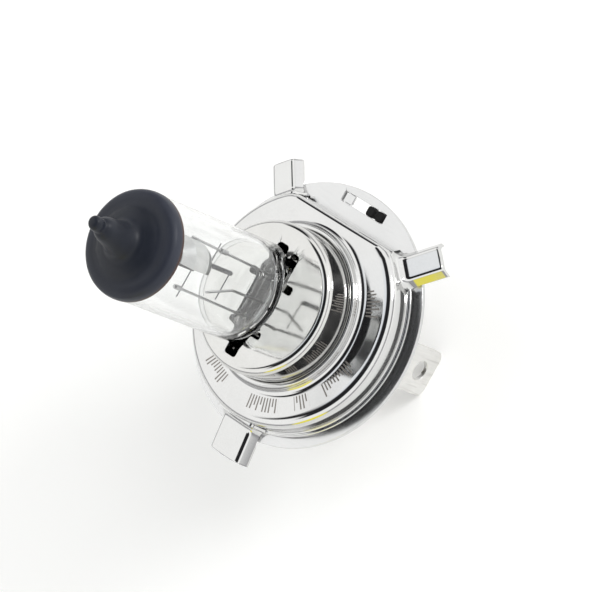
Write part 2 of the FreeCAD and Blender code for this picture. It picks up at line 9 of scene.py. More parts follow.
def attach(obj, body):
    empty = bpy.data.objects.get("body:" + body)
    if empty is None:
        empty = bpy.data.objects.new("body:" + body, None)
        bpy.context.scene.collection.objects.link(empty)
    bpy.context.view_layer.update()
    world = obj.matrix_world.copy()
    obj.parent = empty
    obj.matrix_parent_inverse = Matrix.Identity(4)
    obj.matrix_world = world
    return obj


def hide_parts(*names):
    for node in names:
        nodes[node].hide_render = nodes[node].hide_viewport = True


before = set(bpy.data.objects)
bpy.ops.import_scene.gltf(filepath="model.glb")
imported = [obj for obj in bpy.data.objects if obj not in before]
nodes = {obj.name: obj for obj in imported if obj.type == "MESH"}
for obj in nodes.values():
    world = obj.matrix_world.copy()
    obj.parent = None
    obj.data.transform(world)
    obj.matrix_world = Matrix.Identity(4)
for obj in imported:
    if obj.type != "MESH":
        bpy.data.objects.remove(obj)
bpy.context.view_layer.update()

# ---------------------------------------------------------------------------------------------
# Glass envelope: a quartz tube blown to a round cavity, with a low dome and a tip-off nipple at
# the front.  Its rear end is pressed flat while hot, which seals the foils and wires in.  All
# lengths down to the studio are millimetres in the bulb's own frame, and are scaled on making.

MM = 0.001
tube_radius = 8.4
tube_wall = 0.9
tube_foot = 20.0
pinch_top = 14.0
pinch_foot = -2.6
pinch_half = (1.9, 5.9)
cavity_floor = 15.3
nipple_lean, nipple_root = math.tan(math.radians(6.8)), 49.6
dome_line = [(8.4, 45.6), (8.4, 46.4), (8.22, 47.05), (7.65, 47.6), (6.9, 47.85), (6.2, 47.93),
             (5.6, 48.1), (4.9, 48.55), (4.1, 48.95), (3.4, 49.25), (2.85, 49.75), (2.5, 50.5),
             (2.25, 51.5), (2.05, 52.6), (1.88, 53.6), (1.66, 54.4), (1.36, 54.95), (1.04, 55.3),
             (1.0, 55.65), (1.07, 56.1), (1.05, 56.5), (0.93, 56.95), (0.6, 57.3), (0.0, 57.45)]


def flowing(points, steps=5):
    """A smooth line through the points."""
    line = np.array(points, float)
    line = np.vstack([2 * line[0] - line[1], line, 2 * line[-1] - line[-2]])
    made = []
    for a, b, c, d in zip(line[:-3], line[1:-2], line[2:-1], line[3:]):
        for t in np.arange(steps) / steps:
            made.append(0.5 * (2 * b + (c - a) * t + (2 * a - 5 * b + 4 * c - d) * t ** 2
                               + (3 * b - a - 3 * c + d) * t ** 3))
    made.append(line[-2])
    return np.array(made)


def joined(made, replaced):
    """Makes the object a piece of the bulb, in place of the CAD nodes that it stands for."""
    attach(made, "root")
    if replaced:
        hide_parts(*replaced)


def piece(name, vertices, faces, slot, replaced=(), smooth=35, hollow=False):
    """A mesh object, part of the bulb if it has a slot; faces meeting below the angle shade as one."""
    mesh = bpy.data.meshes.new(name)
    mesh.from_pydata([tuple(MM * c for c in v) for v in vertices], [], faces)
    mesh.validate()
    if not hollow:
        form = bmesh.new()
        form.from_mesh(mesh)
        bmesh.ops.recalc_face_normals(form, faces=form.faces)
        form.to_mesh(mesh)
        form.free()
    mesh.shade_smooth()
    mesh.set_sharp_from_angle(angle=math.radians(smooth))
    made = bpy.data.objects.new(name, mesh)
    bpy.context.scene.collection.objects.link(made)
    if slot:
        joined(made, replaced)
    return made


def skinned(rings, closed=False, capped=(False, False)):
    """Vertices and faces of a skin over rings of equal count, closed to a loop or capped."""
    rings = np.array(rings, float)
    count, around = rings.shape[:2]
    faces = []
    for i in range(count if closed else count - 1):
        for j in range(around):
            k, n = (j + 1) % around, (i + 1) % count
            faces.append((i * around + j, i * around + k, n * around + k, n * around + j))
    vertices = [tuple(v) for v in rings.reshape(-1, 3)]
    for end, wanted in enumerate(capped):
        if wanted:
            ring = 0 if end == 0 else count - 1
            vertices.append(tuple(rings[ring].mean(axis=0)))
            hub = len(vertices) - 1
            for j in range(around):
                edge = (ring * around + j, ring * around + (j + 1) % around)
                faces.append((hub, edge[1], edge[0]) if end == 0 else (hub, *edge))
    return vertices, faces


def leaning(r, z, around=128):
    """A round section, drawn aside where the tip-off leans."""
    turn = 2 * math.pi * np.arange(around) / around
    aside = nipple_lean * max(0.0, z - nipple_root)
    return np.stack([r * np.cos(turn), r * np.sin(turn) - aside, np.full(around, z)], axis=1)


def pressed_section(z, half_x, half_y, squareness, around=128):
    """A section between a circle and a round-cornered bar."""
    turn = 2 * math.pi * np.arange(around) / around
    power = 2 / squareness
    x = half_x * np.sign(np.cos(turn)) * np.abs(np.cos(turn)) ** power
    y = half_y * np.sign(np.sin(turn)) * np.abs(np.sin(turn)) ** power
    return np.stack([x, y, np.full(around, z)], axis=1)


def shouldered(low, high, half, radius, steps=28):
    """Sections that open from a bar to the full tube: at once along the pinch, slowly across it."""
    made = []
    for t in np.linspace(0, 1, steps):
        z = low + (high - low) * t ** 1.6
        along = math.sin(min(1, 2.6 * t) * math.pi / 2)
        across = 0.42 * along + 0.58 * math.sin(max(0, t - 0.3) / 0.7 * math.pi / 2) ** 1.3
        squareness = 2 + 4 * (1 - along) ** 2
        made.append(pressed_section(z, half[0] + (radius - half[0]) * across,
                                    half[1] + (radius - half[1]) * along, squareness))
    return made


outside = [pressed_section(pinch_foot, 1.5, 5.5, 6), pressed_section(pinch_foot + 0.3, *pinch_half, 6)]
outside += [pressed_section(z, *pinch_half, 6) for z in np.linspace(0, pinch_top - 0.4, 12)]
outside += shouldered(pinch_top, tube_foot + 1, pinch_half, tube_radius)
outside += [leaning(tube_radius, z) for z in np.linspace(tube_foot + 2, 44.5, 14)]
outside += [leaning(r, z) for r, z in flowing(dome_line)[:-1]]
inner_radius = tube_radius - tube_wall
inside = [pressed_section(cavity_floor, 0.7, 5.0, 5)]
inside += shouldered(cavity_floor + 0.1, tube_foot + 1.6, (1.0, 5.3), inner_radius)
inside += [leaning(inner_radius, z) for z in np.linspace(tube_foot + 2.4, 45, 14)]
inside += [leaning(r, z) for r, z in flowing(
    [(inner_radius, 45.6), (7.1, 46.5), (5.8, 47.0), (4.2, 47.8), (2.6, 48.7), (1.5, 50.2),
     (0.8, 52.0), (0.3, 52.6)])]
outer_vertices, outer_faces = skinned(outside, capped=(True, True))
inner_vertices, inner_faces = skinned(inside, capped=(True, True))
inner_faces = [tuple(reversed([v + len(outer_vertices) for v in face])) for face in inner_faces]


def dimpled(vertices):
    """Two small round press marks in the cavity's floor, at the ends of the pinch."""
    mark_place, mark_radius, mark_width, mark_height, mark_top = 4.4, 0.75, 0.28, 0.35, 18
    made = []
    for x, y, z in vertices:
        away = min(math.hypot(x, y - side) for side in (-mark_place, mark_place))
        near = math.exp(-((away - mark_radius) / mark_width) ** 2) if z < mark_top else 0
        made.append((x, y, z + mark_height * near))
    return made


envelope = piece("glass_tube", outer_vertices + dimpled(inner_vertices), outer_faces + inner_faces,
                 "quartz", ["glass_envelope"], smooth=50, hollow=True)


class Reading:
    """An output of a shader node; arithmetic on it adds Math nodes."""

    def __init__(self, recipe, socket):
        self.recipe, self.socket = recipe, socket

    def math(self, operation, *values):
        return self.recipe.add("ShaderNodeMath", {"operation": operation}, values)

    def __add__(self, other):
        return self.math("ADD", self, other)

    def __sub__(self, other):
        return self.math("SUBTRACT", self, other)

    def __rsub__(self, other):
        return self.math("SUBTRACT", other, self)

    def __mul__(self, other):
        return self.math("MULTIPLY", self, other)

    def __truediv__(self, other):
        return self.math("DIVIDE", self, other)

    def __rtruediv__(self, other):
        return self.math("DIVIDE", other, self)

    def __gt__(self, other):
        return self.math("GREATER_THAN", self, other)

    __radd__ = __add__
    __rmul__ = __mul__


class Recipe:
    """A material or world, and the one way its nodes are added."""

    def __init__(self, owner):
        self.owner = owner
        owner.use_nodes = True
        self.tree = owner.node_tree

    def feed(self, socket, value):
        if isinstance(value, Reading):
            self.tree.links.new(value.socket, socket)
        elif socket.type == "RGBA" and len(value) == 3:
            socket.default_value = (*value, 1)
        else:
            socket.default_value = value

    def add(self, kind, settings=None, inputs=(), out=0):
        node = self.tree.nodes.new(kind)
        for setting, value in (settings or {}).items():
            setattr(node, setting, value)
        pairs = inputs.items() if isinstance(inputs, dict) else enumerate(inputs)
        for socket, value in pairs:
            self.feed(node.inputs[socket], value)
        return Reading(self, node.outputs[out])

    def place(self):
        """The point's place in the bulb's frame, in metres."""
        return self.add("ShaderNodeTexCoord", out=3)

    def axes(self):
        """Its three distances along the axes, in millimetres."""
        split = self.add("ShaderNodeSeparateXYZ", {}, [self.place()]).socket.node
        return [Reading(self, output) * (1 / MM) for output in split.outputs]

    def noise(self, size, detail=3.0, stretch=(1, 1, 1)):
        """Cloudy noise from 0 to 1 with features of a size in millimetres."""
        scaled = self.add("ShaderNodeVectorMath", {"operation": "MULTIPLY"},
                          [self.place(), tuple(s / (MM * size) for s in stretch)])
        return self.add("ShaderNodeTexNoise", {}, {"Vector": scaled, "Scale": 1.0, "Detail": detail})

    def ramp(self, value, low, high, start=0.0, end=1.0):
        """A soft step from start to end while the value goes from low to high."""
        return self.add("ShaderNodeMapRange", {"interpolation_type": "SMOOTHSTEP"},
                        [value, low, high, start, end])

    def mix(self, factor, one, other):
        return self.add("ShaderNodeMix", {"data_type": "RGBA"}, {0: factor, 6: one, 7: other}, out=2)

    def bump(self, height, strength, distance):
        return self.add("ShaderNodeBump", {}, {"Height": height, "Strength": strength,
                                               "Distance": distance * MM})

    def surface(self, fixed, varied):
        """Sets the main shader's even values and links its varied ones."""
        shader = self.tree.nodes["Principled BSDF"]
        for socket, value in {**fixed, **varied}.items():
            self.feed(shader.inputs[socket], value)


def finish_on(made, recipe):
    """Gives the piece, or the named CAD node, this finish."""
    if isinstance(made, str):
        made = nodes[made]
    if not made.material_slots:
        made.data.materials.append(recipe.owner)
    for slot in made.material_slots:
        slot.material = recipe.owner


quartz = Recipe(bpy.data.materials.new("quartz"))
height = quartz.axes()[2]
pressed = quartz.ramp(height, 21, 13)
quartz.surface(
    {"Transmission Weight": 1.0, "IOR": 1.45},
    {"Base Color": quartz.mix(pressed, (0.995, 1.0, 0.998), (0.955, 0.97, 0.965)),
     "Roughness": quartz.noise(3.0) * pressed * 0.02,
     "Normal": quartz.bump(quartz.noise(2.5, 2.0) * pressed, 0.25, 0.3)})
finish_on(envelope, quartz)

# ---------------------------------------------------------------------------------------------
# Tip coating: a black, light-proof ceramic paint dipped over the dome and fired on.  It ends in
# a thin brownish edge round the tube.

coating_depth, coating_start, dome_start = 0.1, 0.01, 47
coat_sections = [leaning(tube_radius + coating_start, dome_line[0][1])]
coat_sections += [leaning(r + coating_depth, z + coating_depth * (z > dome_start))
                  for r, z in flowing(dome_line)[:-1]]
tip = piece("tip_paint", *skinned(coat_sections, capped=(False, True)), "black_coating",
            ["tip_coating"], smooth=60)

paint = Recipe(bpy.data.materials.new("fired_black_paint"))
height = paint.axes()[2]
cloud = paint.noise(4.0, 4.0)
speck = paint.noise(0.35, 2.0)
# Lighter towards the rim and darker on the dome. This is partly thinner paint at the rim and partly a
# painted highlight that stands in for the lamps' sheen on the rim. The cloud gives a random tone.
cloudy_tone_and_painted_rim_highlight = paint.mix(cloud * 0.5 + paint.ramp(height, 48.6, 47.2) * 0.5,
                        (0.003, 0.005, 0.010), (0.030, 0.034, 0.050))
paint.surface(
    {"IOR": 1.36},
    {"Base Color": paint.mix(paint.ramp(height, 46.3, 45.7), cloudy_tone_and_painted_rim_highlight, (0.06, 0.03, 0.022)),
     "Roughness": 0.36 + 0.14 * cloud,
     "Normal": paint.bump(speck + cloud, 0.25, 0.05)})
finish_on(tip, paint)

# ---------------------------------------------------------------------------------------------
# Support wires, beam shield and crimps: drawn molybdenum wire, and a pressed molybdenum cup
# half round the low-beam coil.  They are bent to shape, spot-welded and sealed into the pinch.


def metal(name, dark, light, rough, grain=(0.4, (1, 1, 1)), cloud_size=3.0, relief=0.02,
          depth=0.02, extra=None):
    """A metal with cloudy tone, uneven gloss and fine drawn grain; extra may change its readings."""
    recipe = Recipe(bpy.data.materials.new(name))
    cloud = recipe.noise(cloud_size, 4.0)
    lines = recipe.noise(grain[0], 3.0, grain[1])
    colour = recipe.mix(recipe.ramp(cloud * 0.6 + lines * 0.4, 0.3, 0.7), dark, light)
    gloss = rough[0] + (rough[1] - rough[0]) * (0.5 * cloud + 0.5 * lines)
    relief_height = lines * relief + cloud * (10 * relief)
    if extra:
        colour, gloss, relief_height = extra(recipe, colour, gloss, relief_height)
    recipe.surface({"Metallic": 1.0}, {"Base Color": colour, "Roughness": gloss,
                                       "Normal": recipe.bump(relief_height, 1.0, depth)})
    return recipe


wire_metal = metal("drawn_molybdenum", (0.36, 0.36, 0.37), (0.6, 0.6, 0.6), (0.25, 0.42),
                   (0.12, (1, 1, 0.1)))
for name in ("shield_support_wire", "high_beam_support_wire", "low_beam_support_wire",
             "filament_crimps"):
    finish_on(name, wire_metal)

shield_metal = metal("pressed_molybdenum", (0.56, 0.57, 0.57), (0.7, 0.7, 0.69), (0.28, 0.4),
                     (0.15, (1, 1, 0.12)))
finish_on("beam_shield", shield_metal)

# ---------------------------------------------------------------------------------------------
# Filaments: two coils of tungsten wire with straight legs, the low-beam one inside the shield
# and the high-beam one behind it.

coil_metal = metal("coiled_tungsten", (0.13, 0.13, 0.14), (0.3, 0.3, 0.31), (0.35, 0.5),
                   (0.1, (1, 1, 1)))
for name in ("high_beam_filament", "low_beam_filament"):
    finish_on(name, coil_metal)

# ---------------------------------------------------------------------------------------------
# Foils and leads: etched molybdenum foil in the pinch carries the current through the seal, and
# plain lead wire runs on from it to each terminal.

foil_metal = metal("sealing_foil", (0.3, 0.31, 0.33), (0.5, 0.5, 0.52), (0.2, 0.4),
                   (0.3, (1, 0.3, 1)))
lead_metal = metal("lead_wire", (0.42, 0.4, 0.38), (0.62, 0.6, 0.56), (0.3, 0.45),
                   (0.12, (1, 1, 0.1)))
for name in ("common_foil", "high_beam_foil", "low_beam_foil"):
    finish_on(name, foil_metal)
for name in ("common_lead", "high_beam_lead", "low_beam_lead"):
    finish_on(name, lead_metal)

# ---------------------------------------------------------------------------------------------
# Pinch clamp: a sheet of spring steel across the collar, with tongues that grip the pinch.

clamp_metal = metal("clamp_spring_steel", (0.22, 0.22, 0.22), (0.6, 0.59, 0.57), (0.12, 0.3),
                    (0.3, (1, 0.2, 1)))
clamp_low, clamp_high, clamp_sheet = 3.2, 11.3, 0.3


def rounded(corners, steps=6):
    """The line through the corners, each (u, v), or (u, v, radius) where it is rounded."""
    line = []
    for k, corner in enumerate(corners):
        point = np.array(corner[:2], float)
        radius = corner[2] if len(corner) > 2 else 0
        if not radius:
            line.append(point)
            continue
        before = np.array(corners[k - 1][:2]) - point
        after = np.array(corners[(k + 1) % len(corners)][:2]) - point
        before, after = before / np.linalg.norm(before), after / np.linalg.norm(after)
        half = math.acos(max(-1, min(1, float(before @ after)))) / 2
        reach = radius / math.tan(half)
        centre = point + (before + after) / np.linalg.norm(before + after) * radius / math.sin(half)
        start, end = point + before * reach - centre, point + after * reach - centre
        first = math.atan2(start[1], start[0])
        sweep = (math.atan2(end[1], end[0]) - first + math.pi) % (2 * math.pi) - math.pi
        for t in np.linspace(0, 1, steps + 1):
            angle = first + sweep * t
            line.append(centre + radius * np.array([math.cos(angle), math.sin(angle)]))
    return line


def ribbon(path, thickness, levels):
    """Rings of a bent sheet: a closed outline, offset outwards by each level's reach, at its height."""
    outline = np.array(path)
    ahead, behind = np.roll(outline, -1, axis=0), np.roll(outline, 1, axis=0)
    away = np.stack([(ahead - behind)[:, 1], -(ahead - behind)[:, 0]], axis=1)
    away /= np.linalg.norm(away, axis=1)[:, None]
    rings = []
    for reach, z in levels + [(reach + thickness, z) for reach, z in levels[::-1]]:
        place = outline + away * reach
        rings.append(np.column_stack([place, np.full(len(place), z)]))
    return skinned(rings, closed=True)


grip = rounded([(2.0, 6.0, 0.8), (-2.0, 6.0, 0.8), (-2.0, -6.0, 0.8), (2.0, -6.0, 0.8)][::-1], 6)
sleeve_vertices, sleeve_faces = ribbon(grip, clamp_sheet, [
    (0.0, clamp_low), (0.0, 9.6), (0.08, 10.4), (0.35, 11.0), (0.8, clamp_high)])
disc_inner, disc_outer, disc_top = 6.6, 11.7, clamp_low + 0.4
disc_vertices, disc_faces = skinned([
    [(r * math.cos(t), r * math.sin(t), z) for t in np.linspace(0, 2 * math.pi, 97)[:-1]]
    for r, z in ((disc_inner, clamp_low), (disc_outer, clamp_low), (disc_outer, disc_top),
                 (disc_inner, disc_top))], closed=True)
clamp = piece("pinch_spring", sleeve_vertices + disc_vertices, sleeve_faces
              + [tuple(v + len(sleeve_vertices) for v in face) for face in disc_faces],
              "spring_steel", ["pinch_clamp"])
tongues = ((-2.1, -7.5, 0.5), (0.9, -7.4, 0.45), (-2.6, 5.5, 0.45), (-3.6, -3.0, 0.4), (0.3, 9.2, 0.4))
tongue_half_sheet, tongue_bow, grip_low, grip_high = 0.13, 0.08, 9, 11
for number, (across, along, reach) in enumerate(tongues):
    lean = 0.25 * (-1) ** number
    tongue_rings = []
    for z in (4.0, 7.0, 9.0, 10.0, 10.8, 11.5):
        bow = tongue_bow * (z - grip_low) * (z - grip_high)
        tongue_rings.append([
            (across + reach * u + lean * (z - grip_low), along + tongue_half_sheet * v + bow, z)
            for u, v in ((-1, -1), (1, -1), (1, 1), (-1, 1))])
    tongue = piece(f"clamp_tongue_{number + 1}", *skinned(tongue_rings, capped=(True, True)),
                   "spring_steel")
    finish_on(tongue, clamp_metal)
finish_on(clamp, clamp_metal)

# ---------------------------------------------------------------------------------------------
# Collar cup: a cup drawn from nickel-plated sheet.  Its top edge is rolled over, and its face
# has a notched slot, punched through, that the pinch stands in.

collar_radius = 12.41
collar_top = 12.65
collar_foot = -0.4
collar_wall = 0.6


def lathed(profile, around=192):
    """The skin of a closed (r, z) profile turned round the axis."""
    turn = 2 * math.pi * np.arange(around) / around
    rings = [np.stack([r * np.cos(turn), r * np.sin(turn), np.full(around, z)], axis=1)
             for r, z in profile]
    return skinned(rings, closed=True)


def prism(name, outline, low, high, turned=Matrix.Identity(4)):
    """A plain block of an (x, y) outline between two heights, then turned as a whole."""
    count = len(outline)
    vertices = [(x, y, low) for x, y in outline] + [(x, y, high) for x, y in outline]
    faces = [tuple(range(count))[::-1], tuple(range(count, 2 * count))]
    faces += [(k, (k + 1) % count, count + (k + 1) % count, count + k) for k in range(count)]
    made = piece(name, vertices, faces, None)
    made.data.transform(turned)
    return made


def punched(made, punches, edge):
    """Cuts the punches out of the piece, breaks its sharp edges and keeps the result as its mesh."""
    sharp = 40
    for punch in punches:
        cutting = made.modifiers.new("cut", "BOOLEAN")
        cutting.operation, cutting.solver, cutting.object = "DIFFERENCE", "EXACT", punch
    breaking = made.modifiers.new("edges", "BEVEL")
    breaking.width, breaking.segments = edge * MM, 2
    breaking.limit_method, breaking.angle_limit = "ANGLE", math.radians(sharp)
    flat = made.modifiers.new("flat_faces", "WEIGHTED_NORMAL")
    flat.keep_sharp, flat.weight = True, 100
    bpy.context.view_layer.update()
    seen = made.evaluated_get(bpy.context.evaluated_depsgraph_get())
    mesh = bpy.data.meshes.new_from_object(seen)
    made.modifiers.clear()
    made.data = mesh
    for punch in punches:
        bpy.data.objects.remove(punch)
    return made


collar_inner = collar_radius - collar_wall
collar_profile = rounded([
    (collar_radius, collar_foot), (collar_radius, collar_top, 1.25), (0.02, collar_top),
    (0.02, collar_top - collar_wall), (collar_inner, collar_top - collar_wall, 0.65),
    (collar_inner, collar_foot)], steps=9)
collar = piece("collar", *lathed(collar_profile[::-1]), "nickel_plate", ["collar_cup"])
slot_outline = [
    (2.0, -8.9, 0.7), (2.3, -7.25, 0.4), (2.3, -3.7, 0.4), (4.8, -3.7, 0.5), (4.8, -2.3, 0.5),
    (2.3, -2.3, 0.4), (2.3, 4.9, 0.4), (3.6, 4.9, 0.4), (3.6, 6.1, 0.4), (1.9, 6.1, 0.4),
    (1.2, 8.8, 0.6), (1.2, 10.4, 0.5), (-1.2, 10.4, 0.5), (-1.2, 8.8, 0.6), (-1.9, 6.1, 0.4),
    (-3.6, 6.1, 0.4), (-3.6, 4.9, 0.4), (-2.3, 4.9, 0.4), (-2.3, -2.3, 0.4), (-4.8, -2.3, 0.5),
    (-4.8, -3.7, 0.5), (-3.0, -3.7, 0.3), (-3.0, -8.35, 0.7), (-1.3, -8.35, 0.4),
    (-1.3, -7.25, 0.3), (-0.3, -7.25, 0.3), (-0.3, -8.9, 0.7)]
collar = punched(collar, [prism("slot_punch", rounded(slot_outline, 5), 9, 14)], edge=0.12)


def smudges(recipe):
    """Where a bright part has been handled."""
    return recipe.ramp(recipe.noise(7.0, 5.0), 0.5, 0.75)


def handled(recipe, colour, gloss, relief):
    """Duller where it is smudged."""
    return colour, gloss + 0.1 * smudges(recipe), relief


bright_plate = metal("bright_nickel_plate", (0.60, 0.597, 0.583), (0.65, 0.647, 0.635), (0.05, 0.11),
                     (0.25, (1, 1, 1)), cloud_size=6.0, relief=0.01, extra=handled)
finish_on(collar, bright_plate)

# ---------------------------------------------------------------------------------------------
# Prefocus ring: a shallow pan pressed from nickel-plated steel, with an upturned neck round the
# collar, one side trimmed straight, and three arched lugs drawn out of its wall.  A row of
# plain strokes is etched round its flat.

neck_inner, neck_outer, neck_foot, neck_top, neck_root = 12.45, 13.25, 3.9, 6.75, 1.3
pan_top, sheet = 5.0, 0.8
wall_radius, foot_radius, foot_top = 19.2, 19.9, 0.88
chord = 15.9
flange_edge = 21.6


def trimmed(radius, reach):
    """The radius, or the straight side's reach where that is less, with a soft turn between them."""
    blend = 0.35
    near = math.exp(-((radius - reach) ** 2) / (2 * blend ** 2)) * 0.4 * blend
    return min(radius, reach) - near


ring_profiles = []
ring_turns = np.radians(np.arange(0, 360, 1.0))
for turn in ring_turns:
    reach = chord / max(1e-3, -math.sin(turn)) if math.sin(turn) < 0 else 1e3
    wall, foot = trimmed(wall_radius, reach), trimmed(foot_radius, reach)
    straight = max(0.0, min(1.0, (wall_radius - reach) / 0.8))
    foot = max(foot, wall + 0.02)
    bend = 1.7 - 0.6 * straight
    ring_profiles.append(rounded([
        (neck_inner, neck_foot), (neck_inner, neck_top, 0.25), (neck_outer, neck_top, 0.35),
        (neck_outer, pan_top, neck_root), (wall, pan_top, bend),
        (wall, foot_top, 0.02 + 0.3 * (1 - straight)),
        (foot, foot_top, 0.02 + 0.22 * (1 - straight)), (foot, 0.0), (wall - sheet, 0.0),
        (wall - sheet, pan_top - sheet, max(0.3, bend - sheet)), (neck_outer - 0.3, pan_top - sheet)], 6))
profiles = np.array(ring_profiles)
rings = np.stack([profiles[:, :, 0] * np.cos(ring_turns)[:, None],
                  profiles[:, :, 0] * np.sin(ring_turns)[:, None], profiles[:, :, 1]], axis=2)
pan_vertices, pan_faces = skinned(rings, closed=True)


def lug(width, angle):
    """An arched strip that flows out of the pan's wall, slopes down and ends on a circle."""
    tip, shoulder, drop, flow = 25.9, 1.0, 1.55, 1.5
    crown_height, crown_radius, slope = 1.85, 21.5, math.tan(math.radians(10))
    droop, droop_reach = 0.12, 0.35
    above_flange, clear_of_flange = 0.02, -3
    stations = [wall_radius + flow * (1 - math.cos(t)) for t in np.linspace(0, math.pi / 2, 12)]
    stations = [wall_radius - 0.4] + stations + list(np.linspace(20.9, tip - 0.5, 8))
    stations += [tip - left for left in (0.35, 0.22, 0.1, 0.0)]
    bend = [(u, v) for u, v in rounded([(0, 0), (1, 0, 0.95), (1 + shoulder, -drop)], 8)][1:]
    top, under = [], []
    for r in stations:
        past = max(0.0, min(flow, wall_radius + flow - r))
        rise = flow - math.sqrt(flow ** 2 - past ** 2)
        crown = crown_height - slope * (max(r, wall_radius) - crown_radius) + rise
        crown -= droop * max(0.0, (r - tip + droop_reach) / droop_reach) ** 2
        half = width / 2 - shoulder + 0.6 * rise
        section = [(0.0, 0.0), (0.35 * half, 0.0), (0.7 * half, 0.0)]
        section += [(half + u - 1, v * (1 + 0.5 * rise)) for u, v in bend]
        section = [(-u, v) for u, v in section[:0:-1]] + section
        seat = above_flange if r < flange_edge else clear_of_flange
        row_top, row_under = [], []
        for lateral, fall in section:
            reach = min(r, math.sqrt(tip ** 2 - lateral ** 2))
            row_top.append((reach, lateral, max(crown + fall, seat + 0.1)))
            row_under.append((reach, lateral * 0.93, max(crown + fall - sheet, seat)))
        top.append(row_top)
        under.append(row_under)
    ring = np.array([t + u[::-1] for t, u in zip(top, under)], float)
    turn = math.radians(angle)
    x, y = ring[:, :, 0].copy(), ring[:, :, 1].copy()
    ring[:, :, 0] = x * math.cos(turn) - y * math.sin(turn)
    ring[:, :, 1] = x * math.sin(turn) + y * math.cos(turn)
    vertices, faces = skinned(ring)
    across = len(top[0])
    for first in (0, (len(stations) - 1) * 2 * across):
        for k in range(across - 1):
            faces.append((first + k, first + k + 1, first + 2 * across - 2 - k,
                          first + 2 * across - 1 - k))
    return vertices, faces


ring_vertices, ring_faces = list(pan_vertices), list(pan_faces)
for lug_width, lug_angle in ((8.0, 90), (5.7, -46.5), (5.7, -133.5)):
    lug_vertices, lug_faces = lug(lug_width, lug_angle)
    start = len(ring_vertices)
    ring_vertices += lug_vertices
    ring_faces += [tuple(v + start for v in face) for face in lug_faces]
ring = piece("prefocus_ring_pressing", ring_vertices, ring_faces, "nickel_plate",
             ["prefocus_ring"], smooth=32)


def etched(recipe, colour, gloss, relief):
    """Groups of plain etched strokes on the flat, duller than the plate and of uneven length."""
    pitch, stroke_foot, stroke_top = 2.1, 14.6, 17.0
    x, y, z = recipe.axes()
    radius = recipe.add("ShaderNodeMath", {"operation": "SQRT"}, [x * x + y * y])
    angle = recipe.add("ShaderNodeMath", {"operation": "ARCTAN2"}, [y, x]) * (180 / math.pi)
    cell = recipe.add("ShaderNodeMath", {"operation": "FLOOR"}, [angle / pitch])
    within = angle / pitch - cell
    chance = recipe.add("ShaderNodeTexWhiteNoise", {"noise_dimensions": "1D"}, {"W": cell})
    strokes = (recipe.ramp(within, 0.18, 0.28) * recipe.ramp(within, 0.72, 0.62)
               * recipe.ramp(radius, stroke_foot, stroke_foot + 0.1)
               * recipe.ramp(radius + 1.3 * chance * (chance > 0.45), stroke_top, stroke_top - 0.1))
    groups = None
    for low, high in ((-160, -143), (149, 172), (129, 139), (97, 118), (57, 76)):
        group = recipe.ramp(angle, low, low + 0.2) * recipe.ramp(angle, high + 0.2, high)
        groups = group if groups is None else groups + group
    mark = strokes * groups * recipe.ramp(z, pan_top - 0.3, pan_top - 0.1)
    return (recipe.mix(mark, colour, (0.33, 0.31, 0.29)),
            gloss + 0.07 * smudges(recipe) + 0.5 * mark, relief - 0.05 * mark)


ring_plate = metal("etched_nickel_plate", (0.61, 0.61, 0.606), (0.65, 0.65, 0.646), (0.05, 0.10),
                   (0.3, (1, 1, 1)), cloud_size=7.0, relief=0.012, extra=etched)
finish_on(ring, ring_plate)

# ---------------------------------------------------------------------------------------------
# Flange disc: a flat round plate, blanked and tumbled, riveted behind the ring.  In the segment
# beside the ring's straight side it has a window, with two black studs and a small tab in it.

flange_radius = 21.5
window = [(-4.4, -20.05, 0.25), (4.9, -20.05, 0.25), (4.9, -18.3, 0.25), (-4.4, -18.3, 0.25)]
flange = piece("flange_plate", *lathed([(neck_inner, -0.8), (flange_radius, -0.8), (flange_radius, 0.0),
                                        (neck_inner, 0.0)], around=256), "satin_plate", ["flange_disc"])
flange = punched(flange, [prism("window_punch", rounded(window, 4), -2, 2)], edge=0.2)
satin_plate = metal("rolled_satin_plate", (0.62, 0.622, 0.624), (0.66, 0.66, 0.66), (0.14, 0.24),
                    (0.35, (0.12, 1, 1)), cloud_size=8.0, relief=0.01)
finish_on(flange, satin_plate)


def plate(name, outline, low, high, replaced, turned=Matrix.Identity(4)):
    """A prism that is a piece of the bulb."""
    made = prism(name, outline, low, high, turned)
    joined(made, replaced)
    return made


black_insert = Recipe(bpy.data.materials.new("black_moulding"))
cloud = black_insert.noise(1.2, 4.0)
black_insert.surface({"IOR": 1.25}, {
    "Base Color": black_insert.mix(cloud, (0.004, 0.004, 0.004), (0.009, 0.009, 0.009)),
    "Roughness": 0.25 + 0.25 * cloud, "Normal": black_insert.bump(cloud, 0.4, 0.1)})
for number, (left, right) in enumerate(((-4.3, -2.7), (-2.35, -0.75))):
    outline = [(left, -20.0, 0.4), (right, -20.0, 0.4), (right, -18.35, 0.4), (left, -18.35, 0.4)]
    stud = plate(f"window_stud_{number + 1}", rounded(outline, 5), -0.8, 0.35,
                 ["slot_studs"] if number == 0 else ())
    finish_on(punched(stud, [], edge=0.2), black_insert)
tab_outline = [(2.75, -20.0, 0.3), (4.85, -20.0, 0.3), (4.85, -18.35, 0.3), (2.75, -18.35, 0.3)]
tab = plate("window_tab", rounded(tab_outline, 5), -0.8, -0.4, ["slot_tab"])
finish_on(punched(tab, [], edge=0.1), satin_plate)

# ---------------------------------------------------------------------------------------------
# Base shell: a short drawn barrel behind the flange, rolled in over the insulator.

shell_plate = metal("drawn_shell_plate", (0.6, 0.6, 0.59), (0.76, 0.76, 0.75), (0.1, 0.22),
                    (0.25, (1, 1, 0.15)), cloud_size=5.0)
shell_profile = rounded([(11.7, -9.5), (13.2, -9.5, 0.6), (13.2, -0.7), (12.4, -0.7), (12.4, -8.7),
                         (11.7, -8.7)], 7)
shell = punched(piece("barrel", *lathed(shell_profile), "nickel_plate", ["base_shell"]), [], 0.1)
finish_on(shell, shell_plate)

# ---------------------------------------------------------------------------------------------
# Insulator: a disc of black phenolic, compression moulded, with a boss and slots for the blades.

